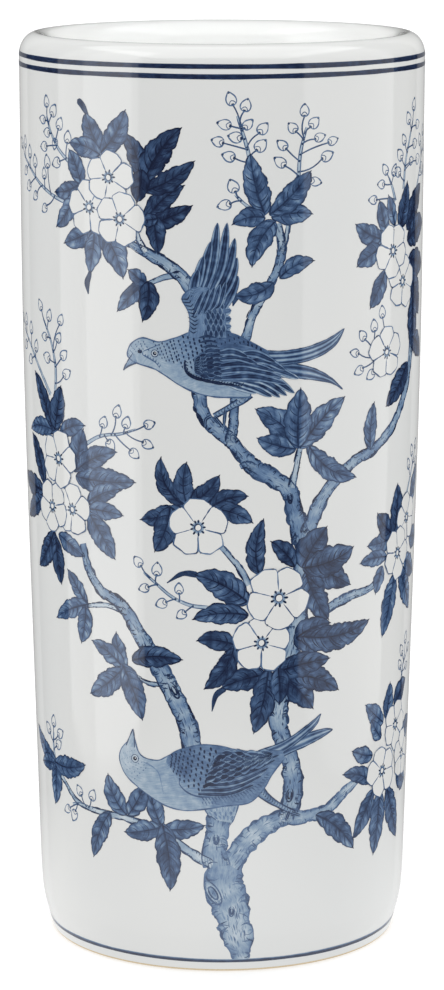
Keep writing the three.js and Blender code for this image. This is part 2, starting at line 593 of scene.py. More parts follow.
def bud(art, stalk_foot, middle, size):
    """A closed bud on a thin stalk: a pointed drop drawn in outline, sitting in a small dark cup."""
    way = (middle - stalk_foot) / abs(middle - stalk_foot)
    base = middle - 0.5 * size * way
    art.stroke(bent(stalk_foot, base, art.random.uniform(-0.12, 0.12), 6), 0.72, 0.68, taper=(0, 0))
    fat = art.random.uniform(0.35, 0.42)
    flank = [0.08 + 0.66j * fat, 0.30 + 0.98j * fat, 0.58 + 0.92j * fat, 0.84 + 0.50j * fat]
    drop = np.array([0, *flank, 1.02, *np.conj(flank[::-1]), 0])
    art.stroke(base + size * way * curve(drop, 0.07), 0.56, 0.56, taper=(0, 0), wobble=0.4)
    cup = np.array([0.10 + 0.27j, 0.30 + 0.13j, 0.36, 0.30 - 0.13j, 0.10 - 0.27j])
    art.stroke(base + size * way * cup, 0.42, 0.62, taper=(0, 0))
    for spot, width in ((0.05, 1.3), (0.98, 0.8)):
        art.stroke(base + size * way * (spot + np.array([-0.09, 0.0, 0.09])), width, 0.84, taper=(0, 0))
    art.stroke(stalk_foot + way * np.array([-0.4, 0.0, 0.4]), 1.0, 0.84, taper=(0, 0))


def bud_spray(name, stem, buds, face):
    """A thin stem with a bud at each of the given places, its stalk joining the stem a little way back."""
    art = Brushwork(name, "branch", face)
    path = curve(stem, 1.0)
    t = np.linspace(0, 1, len(path))
    half = sideways(path) * 0.5 * STEM_WIDTH * (1 - 0.45 * t)
    art.sheet(np.stack((path + half, path - half), 1), 0.22)
    art.on_top()
    for edge in (path + half, path - half):
        art.stroke(edge, 0.42, 0.62, taper=(0, 0.1), wobble=0.5)
    for place in buds:
        distance = np.abs(path - place)
        near = int(np.argmin(distance))
        back = max(0, near - int(0.7 * distance[near]))
        bud(art, path[back], place, BUD_LENGTH * art.random.uniform(0.86, 1.08))
    art.make()


# ---------------------------------------------------------------- branches

HOOKS = 0.62                                            # bark hooks to each mm of either edge
STREAK_AREA = 11                                        # mm2 of limb to each fine streak along it
BIG_KNOT = 5                                            # mm from its middle to its end
KNOT_SHADE = np.array([-0.02, -0.12, 0.02, 0.16])       # cobalt over the wash, from its rim to its heart


def branch(name, knots, widths, face, wash, bark=1.0, rings=(), ink=1.0):
    """A limb: a pale wash, darker to its sides, ragged dark outlines, bark hooks and knot rings."""
    art = Brushwork(name, "branch", face)
    random = art.random
    path, width = curve(knots, 1.0, widths)
    steps = len(path)
    side = sideways(path)
    half = [0.5 * width * (1 + 0.12 * smooth_noise(random, steps, 0.4)) for _ in range(2)]
    left, right = path + side * half[0], path - side * half[1]
    columns = np.linspace(0, 1, 11)
    body = left[:, None] * (1 - columns) + right[:, None] * columns
    shade = 0.24 * np.abs(2 * columns - 1) ** 3 - 0.08 + 0.12 * smooth_noise(random, steps, 0.25)[:, None]
    art.sheet(body, wash + shade)
    art.on_top()
    bold = min(1.0, 0.45 + 0.06 * np.mean(width))
    for edge, inward in ((left, -side), (right, side)):
        start = 0
        while start < steps - 4:
            run = int(random.uniform(4, 12))
            piece = edge[start:start + run] + inward[start:start + run] * random.uniform(-0.35, 0.35)
            if len(piece) > 3:
                weight = random.uniform(0.7, 1.5) * bold
                art.stroke(piece, weight, random.uniform(0.70, 0.96) * ink, (0.2, 0.3), 0.7)
            start += max(3, run - 2)
        for _ in range(int(bark * steps * HOOKS)):
            at = random.integers(1, steps - 2)
            foot = edge[at] + inward[at] * random.uniform(-0.4, 0.5)
            depth = width[at] * random.uniform(0.10, 0.38)
            hook = foot + inward[at] * depth * np.exp(1j * random.uniform(-0.8, 0.8))
            weight = random.uniform(0.45, 1.1) * bold
            hook = bent(foot, hook, random.uniform(-0.35, 0.35), 6)
            art.stroke(hook, weight, random.uniform(0.60, 0.95) * ink, (0.1, 0.7), 0.5)
    for _ in range(int(bark * steps * np.mean(width) / STREAK_AREA)):
        at = random.integers(1, steps - 4)
        reach = min(steps, at + int(random.uniform(3, 6)))
        offset = random.uniform(-0.7, 0.7)
        streak = (path + side * half[0] * offset)[at:reach]
        if len(streak) > 2:
            weight = random.uniform(0.3, 0.65) * bold
            art.stroke(streak, weight, random.uniform(0.50, 0.82) * ink, (0.4, 0.5), 0.6)
    for centre, long, short, tilt in rings:
        knot = np.exp(1j * np.linspace(0.4, 0.4 + TURN, 25))
        swelling = (knot.real * long + 1j * knot.imag * short) * np.exp(1j * tilt)
        if long > BIG_KNOT:
            art.sheet(centre + swelling[:, None] * np.array([1.0, 0.7, 0.35, 0.0]), wash + KNOT_SHADE)
            art.on_top()
        for scale, line in ((1.0, 0.86), (0.55, 0.92)):
            art.stroke(centre + swelling[:-2] * scale, 0.9, line * ink, (0.2, 0.3), 0.3)
    art.make()


# ---------------------------------------------------------------- birds

def span(upper, lower):
    """The space between two edges: a function of how far along it and how far across, 0 to 1 each."""
    top, bottom = curve(upper, 0.5), curve(lower, 0.5)

    def at(along, across):
        over, under = (np.interp(along * (len(edge) - 1), np.arange(len(edge)), edge)
                       for edge in (top, bottom))
        return over + (under - over) * across

    return at


def grid(rows, columns):
    """How far along and how far across a sheet its points lie, 0 to 1 each."""
    return np.linspace(0, 1, rows)[:, None], np.linspace(0, 1, columns)[None, :]


def plumage(art, upper, lower, wash, columns=12, line=0.62):
    """A wash between two edges, outlined. wash gives the cobalt from how far along and across."""
    at = span(upper, lower)
    rows = max(10, int(abs(at(0.0, 0.5) - at(1.0, 0.5)) / 1.4))
    along, across = grid(rows, columns)
    art.sheet(at(along, across), wash(along, across) + 0 * along * across)
    art.on_top()
    for edge in (0.0, 1.0):
        art.stroke(at(np.linspace(0, 1, 2 * rows), edge), 0.6, line, (0.02, 0.02), 0.45)
    return at


def streamer(art, upper, lower, stripes, pale=0.30, dark=0.82):
    """A long tail feather, striped along its length."""
    def wash(along, across):
        striped = (pale + dark) / 2 - (dark - pale) / 2 * np.cos(TURN * stripes * across)
        return striped + 0.05 * np.sin(19 * along)

    plumage(art, upper, lower, wash, columns=8 * stripes + 1, line=0.74)
    art.on_top()


FEATHER_ACROSS = np.array([-1.0, -0.84, -0.64, -0.34, 0.0, 0.34, 0.64, 0.84, 1.0])


def feather(art, knots, width, dark, pale, blunt=5):
    """A feather, root to tip: a dark vane with a paler shaft, pale borders and a fine dark edge."""
    path = curve(knots, 0.7)
    t = np.linspace(0, 1, len(path))
    half = 0.5 * width * np.minimum(1, 0.5 + 1.5 * t) * (1 - t ** blunt) ** 0.7
    shaft = 0.65 * dark + 0.35 * pale
    cobalt = np.array([dark, pale, pale + 0.05, dark, shaft, dark, pale + 0.05, pale, dark])
    side = sideways(path) * np.maximum(half, 0.03)
    uneven = 0.10 * smooth_noise(art.random, len(path), 0.4)[:, None]
    art.sheet(path[:, None] + side[:, None] * FEATHER_ACROSS, cobalt + uneven)


def feathers(art, rows, width, dark, pale):
    """Long feathers, each laid partly over the one before it."""
    for knots in rows:
        feather(art, knots, width, dark, pale)
        art.on_top()


def scales(art, at, along, across, columns, rows, size, dark, pale):
    """Small overlapping feathers in staggered columns, laid from the far end forwards like roof tiles."""
    for i in reversed(range(columns)):
        for j in range(rows):
            u = along[0] + (along[1] - along[0]) * (i + 0.5) / columns
            v = across[0] + (across[1] - across[0]) * (j + 0.25 + 0.5 * (i % 2)) / rows
            root = at(u, v)
            ahead = at(u + 0.03, v) - root
            way = size * ahead / abs(ahead) * np.exp(1j * art.random.uniform(-0.15, 0.15))
            feather(art, [root - 0.5 * way, root, root + 0.5 * way], 0.86 * size, dark, pale, 3)
        art.on_top()


def flecks(art, at, along, across, columns, rows, length, tilt, line):
    """Drop-shaped specks in staggered rows over part of a bird, smaller and paler towards its head."""
    for i in range(columns):
        for j in range(rows):
            u = along[0] + (along[1] - along[0]) * (i + 0.5 + art.random.uniform(-0.12, 0.12)) / columns
            across_place = (j + 0.25 + 0.5 * (i % 2) + art.random.uniform(-0.1, 0.1)) / rows
            v = across[0] + (across[1] - across[0]) * across_place
            grown = 0.6 + 0.4 * (i + 1) / columns
            way = np.exp(1j * (tilt + art.random.uniform(-0.2, 0.2))) * length * grown
            drop = at(u, min(v, 0.98)) + way * np.linspace(-0.5, 0.5, 5)
            art.stroke(drop, 0.58 * length * grown, line - 0.3 * (1 - grown), (0.7, 0.3))


def hatching(art, path, length, tilt, line=0.86):
    """Short strokes standing on a path, leaning by tilt from straight across it."""
    for foot, across in zip(path[::2], sideways(path)[::2]):
        reach = across * np.exp(1j * tilt) * length * art.random.uniform(0.6, 1.2)
        art.stroke(foot + reach * np.linspace(0, 1, 4), 0.55, line, (0.0, 0.8))


def eye(art, centre, size):
    """A ringed eye: a pale ring, a dark pupil and a small light in it."""
    ring = np.exp(1j * np.linspace(0, TURN, 18))
    for reach, cobalt in ((1.0, 0.16), (0.55, 0.94), (0.16, 0.0)):
        offset = 0.12 * size * (1 + 1j) if reach < 0.2 else 0
        art.sheet(centre + offset + size * reach * ring[:, None] * DISC, cobalt)
        art.on_top()
    art.stroke(centre + size * ring, 0.4, 0.72, (0, 0), 0.3)


def leg(art, knots, width, toes):
    """A scaly leg and its toes."""
    path, half = curve(knots, 0.8, width)
    side = sideways(path) * half * 0.5
    shank = path[:, None] + side[:, None] * np.linspace(-1, 1, 5)
    art.sheet(shank, np.array([0.72, 0.45, 0.36, 0.45, 0.72]))
    art.on_top()
    for edge in (path + side, path - side):
        art.stroke(edge, 0.6, 0.86, (0, 0), 0.4)
    for k in range(2, len(path) - 1, 2):
        ring = np.array([path[k] + 0.9 * side[k], path[k] - 0.5j * side[k], path[k] - 0.9 * side[k]])
        art.stroke(ring, 0.5, 0.8)
    for toe in toes:
        claw = curve(toe, 0.6)
        art.stroke(claw, 1.8, 0.55, (0.1, 0.5))
        art.on_top()
        for edge in (0.45, -0.45):
            art.stroke(claw + edge * sideways(claw), 0.5, 0.88, (0.1, 0.4))


# The upper bird sits on the upper limb, facing left, one wing raised and its forked tail streaming right.

def upper_bird_leg(face):
    """Its leg, gripping the limb, and the tuft of feathers over it."""
    art = Brushwork("upper_bird_leg", "leaf", face)
    leg(art, [12+292j, 9.4+288.8j, 4+285.6j, -3.7+281.1j], [6, 3.6, 2.6, 2.4],
        [[-3.7+281.1j, -1.5+278.4j, 0.8+275.3j], [1.6+284j, 1.2+280j, 0.8+275.3j],
         [-5+281.2j, -7.6+279.5j, -8+275.7j]])
    tuft = span([13.6+296j, 14+292.4j, 11+288.6j], [4+295j, 4.6+292j, 8.6+288.9j])
    scales(art, tuft, (0.05, 0.95), (0.05, 0.95), 4, 4, 2.6, 0.56, 0.26)
    art.make()


def upper_bird_raised_wing(face):
    """Its raised wing: short feathers behind, long ones fanned upwards, and scales and ticks over its root."""
    art = Brushwork("upper_bird_raised_wing", "bird", face)
    for z in (336, 332, 328, 324.5, 321.5):
        feather(art, [-5 + 1j * (z - 2), 1 + 1j * (z - 0.5), 4.4 + 1j * z], 4.6, 0.74, 0.34, 9)
        art.on_top()
    feathers(art, [[1+333j, 4.5+341j, 7.4+348.6j], [-2+335j, 4+347j, 7+357.3j], [-4+337j, 2.8+352j, 6+366.5j],
                   [-6.5+338j, -0.4+354j, 2.4+373.8j], [-9+339j, -4.6+354j, -2+373.8j],
                   [-11+339j, -8+352j, -5+365j], [-13+339j, -10.6+349j, -8.4+358j],
                   [-14+338j, -12.8+345j, -11+351.5j]], 5.0, 0.90, 0.40)
    arm = plumage(art, [-15.6+319j, -15+325j, -15.6+331j, -18.6+337.6j, -14.5+342j, -11+343j],
                  [2+319j, 1.6+325j, 1.4+330j, 0.6+335j, -2+339j, -7+343j], lambda u, v: 0.50)
    scales(art, arm, (0.02, 0.62), (0.42, 0.98), 6, 4, 3.6, 0.84, 0.42)
    coverts = [[-13.5 + 2.6 * i + 329j + 1j * i, -11.5 + 2.6 * i + 335j, -8.6 + 2.6 * i + 341j + 1.2j * i]
               for i in range(5)]
    feathers(art, coverts, 3.0, 0.86, 0.42)
    ticks = curve([-13.4+321j, -12.6+328j, -14.4+334j, -16.4+338j], 0.9)
    hatching(art, ticks, 3.4, -0.5, 0.90)
    hatching(art, ticks, -1.8, 0.6, 0.90)
    art.make()


def upper_bird_tail(face):
    art = Brushwork("upper_bird_tail", "bird", face)
    streamer(art, [16+305.5j, 32+305.5j, 43+303.2j, 53+298j, 61+291j],
             [16+299j, 30+299.3j, 40+297.8j, 50+296j, 55.5+294.3j, 61+291j], 2)
    streamer(art, [14+313j, 28+311.9j, 40+313j, 51+316j, 61.5+320.6j],
             [14+305j, 28+305.2j, 40+306.2j, 50+309.2j, 57+313.6j, 61.5+320.6j], 3)
    art.make()


def upper_bird_body(face):
    """Its head and beak, speckled neck and back, folded wing and breast."""
    art = Brushwork("upper_bird_body", "bird", face)
    art.level = 10
    body = plumage(art, [-43+306j, -46+309j, -44+314.5j, -38+317.8j, -30+316.2j, -22+318.5j, -14+321.5j,
                         -4+322.6j, 6+320.5j, 14+316.5j, 22+311.8j],
                   [-43+306j, -39+304.8j, -32+303j, -26+299.6j, -20+295.8j, -12+292.2j, -3+290.4j, 6+290.2j,
                    13+290.4j, 14+294j, 22+304j],
                   lambda u, v: 0.26 + 0.42 * np.clip(u * 2.2 - 0.5, 0, 1) * (1 - 0.95 * v ** 1.3),
                   columns=18)
    plumage(art, [-43+310.2j, -46.2+305.5j, -48.3+301.4j], [-40.5+305.6j, -45.2+303.8j, -48.3+301.4j],
            lambda u, v: 0.30 + 0.15 * v, columns=4, line=0.76)
    flecks(art, body, (0.05, 0.22), (0.05, 0.35), 6, 4, 1.0, 1.9, 0.66)
    flecks(art, body, (0.27, 0.40), (0.02, 0.48), 5, 6, 1.5, 1.8, 0.84)
    flecks(art, body, (0.39, 0.60), (0.02, 0.60), 7, 8, 2.0, 1.75, 0.94)
    flecks(art, body, (0.60, 0.96), (0.02, 0.26), 12, 3, 1.7, 1.75, 0.94)
    cheek = curve([-38+309.6j, -34.5+307.9j, -31.6+306.2j, -29.4+303.4j], 0.7)
    art.stroke(curve([-38+311.2j, -34.5+312.8j, -30.5+314.6j, -28.6+315.6j], 0.7), 0.5, 0.62, (0.2, 0.6))
    art.stroke(cheek, 0.6, 0.60, (0.1, 0.6))
    hatching(art, cheek, 1.5, 0.4, 0.62)
    art.stroke(curve([-40.5+310.6j, -39.5+311.2j, -38.3+310.8j], 0.5), 2.0, 0.88)
    eye(art, -32+310.6j, 1.7)
    breast = curve([-17.5+307.5j, -17+303j, -13.5+300j, -8+298.4j, 0+296.8j, 9+295.6j], 0.7)
    art.on_top()
    feathers(art, [[3+296.6j, 10+295j, 16.5+292.1j], [5+298j, 15+295j, 23.6+290j],
                   [5+299.5j, 18+296.4j, 27.6+289.5j], [7+301j, 20+298j, 31+290.2j],
                   [9+302.5j, 22+300j, 34.8+291.2j], [10+305j, 24+303j, 37+298.1j]], 4.6, 0.90, 0.26)
    wing = span([-13+306j, -9+312j, 0+315.5j, 9+315.5j, 18+312.5j, 27+306.5j],
                [-13+303j, -9+299.6j, 0+298.2j, 9+297.6j, 18+297.6j, 28+298.6j])
    along, across = grid(40, 12)
    art.sheet(wing(along, across), 0.62 + 0.10 * np.sin(17 * along) * np.cos(9 * across))
    art.on_top()
    feathers(art, [[-3+299.4j, 12+300.4j, 24+298j, 31+295.6j], [-3+302.4j, 10+303.8j, 20+301.8j, 28+299.4j],
                   [14+305.4j, 26+303j, 35.5+298.8j], [12+308.2j, 21+307.4j, 30+302.6j],
                   [-3+305.2j, 8+306.6j, 16+305.2j, 25+302.2j], [8+311.2j, 16+311j, 25+306.8j],
                   [-2+308.6j, 7+309.6j, 16.5+306.2j], [-2+311.5j, 5+312.2j, 12+309.6j]], 3.9, 0.88, 0.42)
    scales(art, wing, (0.04, 0.34), (0.02, 0.96), 4, 7, 3.8, 0.92, 0.50)
    art.stroke(breast, 1.5, 0.94, (0.2, 0.5), 0.3)
    hatching(art, breast, 2.0, -0.5)
    for z in np.arange(300.5, 321, 2.3):
        middle = -5 + 1.6 * math.sin(0.31 * z)
        crescent = curve([middle - 4 + 1j * z, middle + 1j * (z + 0.8), middle + 4 + 1j * z], 0.7)
        art.stroke(crescent, 1.3, 0.82, (0.4, 0.6))
    art.make()


# The lower bird sits low in the fork, facing left, its beak turned up and its tail raised to the right.

def lower_bird_tail(face):
    art = Brushwork("lower_bird_tail", "bird", face)
    streamer(art, [20+113j, 36+119j, 46+121.7j, 54+122.6j, 59.3+121.6j],
             [20+105.5j, 33+111.8j, 44+115.3j, 53+118.5j, 59.3+121.6j], 2, 0.26, 0.72)
    streamer(art, [18+114.6j, 32+119j, 43+125j, 52+130.6j],
             [20+107j, 34+114.5j, 44+121j, 49.5+125.5j, 52+130.6j], 2, 0.26, 0.76)
    art.make()


def lower_bird_legs(face):
    """Its leg and thigh."""
    art = Brushwork("lower_bird_legs", "bird", face)
    leg(art, [16+98j, 22+91.5j, 29+86.5j, 37+82j], [7, 4, 2.4, 2.2], [[36+82j, 41+80j], [35+83j, 33+78j]])
    thigh = plumage(art, [-10+90j, -8+84j, -3+80j], [9+90j, 7+83j, 5+78.5j], lambda u, v: 0.36 - 0.1 * u)
    scales(art, thigh, (0.1, 0.9), (0.05, 0.95), 4, 5, 2.6, 0.5, 0.24)
    art.make()


def lower_bird_body(face):
    """Its beak and speckled head, pale breast, darker speckled back and folded wing."""
    art = Brushwork("lower_bird_body", "bird", face)
    art.level = 10
    body = plumage(art, [-45.5+119j, -43.5+112.5j, -40+109.6j, -33+108.9j, -28+111.3j, -21+115.2j, -12+117.8j,
                         -4+118j, 6+116j, 15+114.4j, 24+114.4j, 31+114j],
                   [-49.5+117j, -53.6+112j, -54.4+106.5j, -51+99.6j, -44+94.2j, -37+90j, -29+86.2j, -20+84.4j,
                    -10+85.2j, 2+87.2j, 14+88.6j, 21+95j, 26+103j, 32+110j],
                   lambda u, v: 0.22 + 0.28 * np.clip(u * 2.2 - 0.3, 0, 1) * (1 - 0.75 * v ** 2 * (u < 0.6)),
                   columns=18)
    plumage(art, [-50.5+114.5j, -48+120j, -46.2+123.6j], [-45.6+114j, -45.6+119j, -46.2+123.6j],
            lambda u, v: 0.20 + 0.14 * v, columns=4, line=0.76)
    flecks(art, body, (0.06, 0.22), (0.15, 0.9), 6, 6, 0.9, 1.3, 0.56)
    back = span([-28+110.8j, -21+115j, -12+117.4j, -3+117.4j, 8+115j, 18+113.8j, 26+113.6j],
                [-28.5+108j, -24.5+102j, -21+96.5j, -14+92.4j, -5+92.4j, 8+95j, 22+104j])
    along, across = grid(36, 14)
    fading = np.clip(3.0 * (1 - across), 0, 1)
    art.sheet(back(along, across), 0.32 + (0.20 + 0.14 * along + 0.05 * np.sin(11 * along)) * fading)
    art.on_top()
    flecks(art, back, (0.04, 0.50), (0.03, 0.90), 10, 8, 2.1, 1.8, 0.95)
    art.stroke(curve([-41+107.5j, -36+105.6j, -32.5+102.5j, -31+97j, -30+92j], 0.7), 0.6, 0.42)
    fold = [-21+101j, -21.5+97.5j, -17+93.4j, -10+91.6j, 0+92.6j, 10+94.4j, 17+97j]
    art.stroke(curve(fold, 0.7), 0.8, 0.66)
    eye(art, -45.4+108.6j, 2.0)
    feathers(art, [[-12+93j, 3+93.4j, 16+97.6j], [-10.5+95j, 5+96j, 20+102j], [-8.5+97.4j, 8+99.4j, 24+106j],
                   [-6+100.4j, 10+103j, 27+109.6j], [-1+104j, 12+107j, 29+112j]], 3.4, 0.90, 0.42)
    wing = span([-2.6+111j, 0.4+114.6j, 6+115j, 14+113.6j, 24+113.2j],
                [-10+96.4j, 0+96j, 8+98.6j, 16+103j, 25+109.4j])
    scales(art, wing, (0.40, 0.98), (0.04, 0.62), 5, 3, 7.2, 0.90, 0.42)
    scales(art, wing, (0.02, 0.50), (0.02, 0.80), 5, 5, 5.2, 0.92, 0.46)
    flank = curve([-10+91.4j, 0+92.2j, 10+94j, 17+97j, 23+103j], 0.8)
    hatching(art, flank, -2.6, 0.5, 0.66)
    hatching(art, flank - 2.2j, -2.2, 0.3, 0.56)
    for foot in (-9.6+96.4j, -8.4+100j, -5.8+103.6j, -4.6+107j, -2.8+110.6j):
        art.stroke(curve([foot, foot + 2.5 + 1.6j, foot + 5.5 + 2.4j], 0.7), 1.7, 0.92, (0.3, 0.5))
    art.make()


# ---------------------------------------------------------------- the picture

# Limbs: the middle line, the width along it in mm, and any knots (middle, half length, half width, tilt).
LIMBS = {
    "trunk": ([11+6.6j, 9.4+14j, 8+20j, 5+33j, 0.5+46j, 1.5+58j], [7.5, 13, 16, 17.5, 20.5, 18.5],
        (-4.6+42.5j, 6.8, 3.0, 2.15), (5+33j, 2.6, 1.3, 1.5)),
    "perch_stub": ([-3+56j, -4+66j, -2+76j, 0+88j], [13, 12, 11, 13], (-3+70j, 2.4, 1.3, 1.6)),
    "right_root_limb": ([4+57j, 12+68j, 22+76j, 35+81j], [10, 11, 10, 8]),
    "right_limb": ([33+79j, 37+92j, 36+104j, 32+117j, 28.5+130j, 31+150j], [8, 10, 10, 9, 9, 9],
        (35+91j, 3.4, 1.7, 1.4)),
    "hidden_limb": ([31+148j, 37+175j, 40+200j, 41+224j], [9, 9, 9, 10]),
    "left_limb": (
        [-14+114j, -18+130j, -26+146j, -35+161j, -43+174j, -51+185j, -63+191j, -71+200j, -75+213j],
        [9, 9, 10, 8, 7, 6, 5, 4.5, 4], (-24+145j, 4.4, 1.7, 2.1)),
    "perch_fork": ([4.2+268j, 5+275j, 5.7+282.4j, 6.2+293j], [5.4, 4.6, 4.2, 4.4]),
    "perch_stub_high": ([15.5+255j, 11.9+257.4j, 8.6+256.2j], [4.4, 3.2, 2.2]),
    "perch_limb": (
        [40+218j, 36+232j, 33+243j, 24+250.5j, 15.5+256j, 10+262j, 4+269j, -2+274.3j, -7+279.5j, -10+286j,
         -10.6+296j], [10, 8, 8, 7.5, 8, 6.4, 6.4, 6.8, 5.6, 5.8, 6.6], (33+240j, 2.5, 1.1, 1.7)),
    "upper_right_limb": (
        [42+221j, 49+237j, 58+247j, 68+254j, 82+259j, 95+266j, 105+276j, 113+288j, 117+302j, 118+320j,
         116+340j], [7, 6.5, 6, 5.5, 5, 5, 5, 5.5, 5, 4.5, 4]),
    "lower_right_branch": ([30+80j, 44+79j, 57+81j, 68+88j, 78+93j], [8, 6, 5.5, 5, 3]),
    "middle_right_branch": ([50+181j, 58+185j, 71+188j, 84+190j, 93+197j], [3.5, 4.5, 4, 3.5, 2.5]),
    "upper_left_branch": ([-12+338j, -18+347j, -27+354j, -36+359j, -47+364j], [5.5, 5.5, 5, 4.5, 3]),
    "top_branch": ([10+315j, 15+331j, 23+345j, 28+358j, 26+373j], [4.4, 4, 4, 4, 3.2]),
}

# Twigs: the middle line and the width along it.
TWIGS = {
    "low_left_twig": ([-5+57j, -18+64j, -30+72j, -50+77j, -70+78j, -85+80j, -93+86j, -101+92j],
        [5, 4, 3.2, 2.8, 2.4, 2.4, 2.2, 2]),
    "left_side_twig": ([-49+182j, -61+184j, -74+182j], [2.8, 2.4, 2]),
    "left_star_twig": ([-27+147j, -38+148j, -49+152j], [2.4, 2, 1.6]),
    "heart_stem": ([13+198j, 8+207j, -1+218j], [3.2, 3, 2.6]),
    "upper_leaf_twig": ([34+245j, 36+254j, 38+264j], [3.4, 3, 2.4]),
    "upper_left_twig": ([-19+349j, -28+347j, -35+344j], [2.8, 2.4, 2]),
    "flower_twig": ([-36+359j, -40+366j, -41+372j], [2.6, 2.2, 1.8]),
    "top_twig": ([28+359j, 30+365j, 31+373j], [2.2, 2, 1.6]),
}

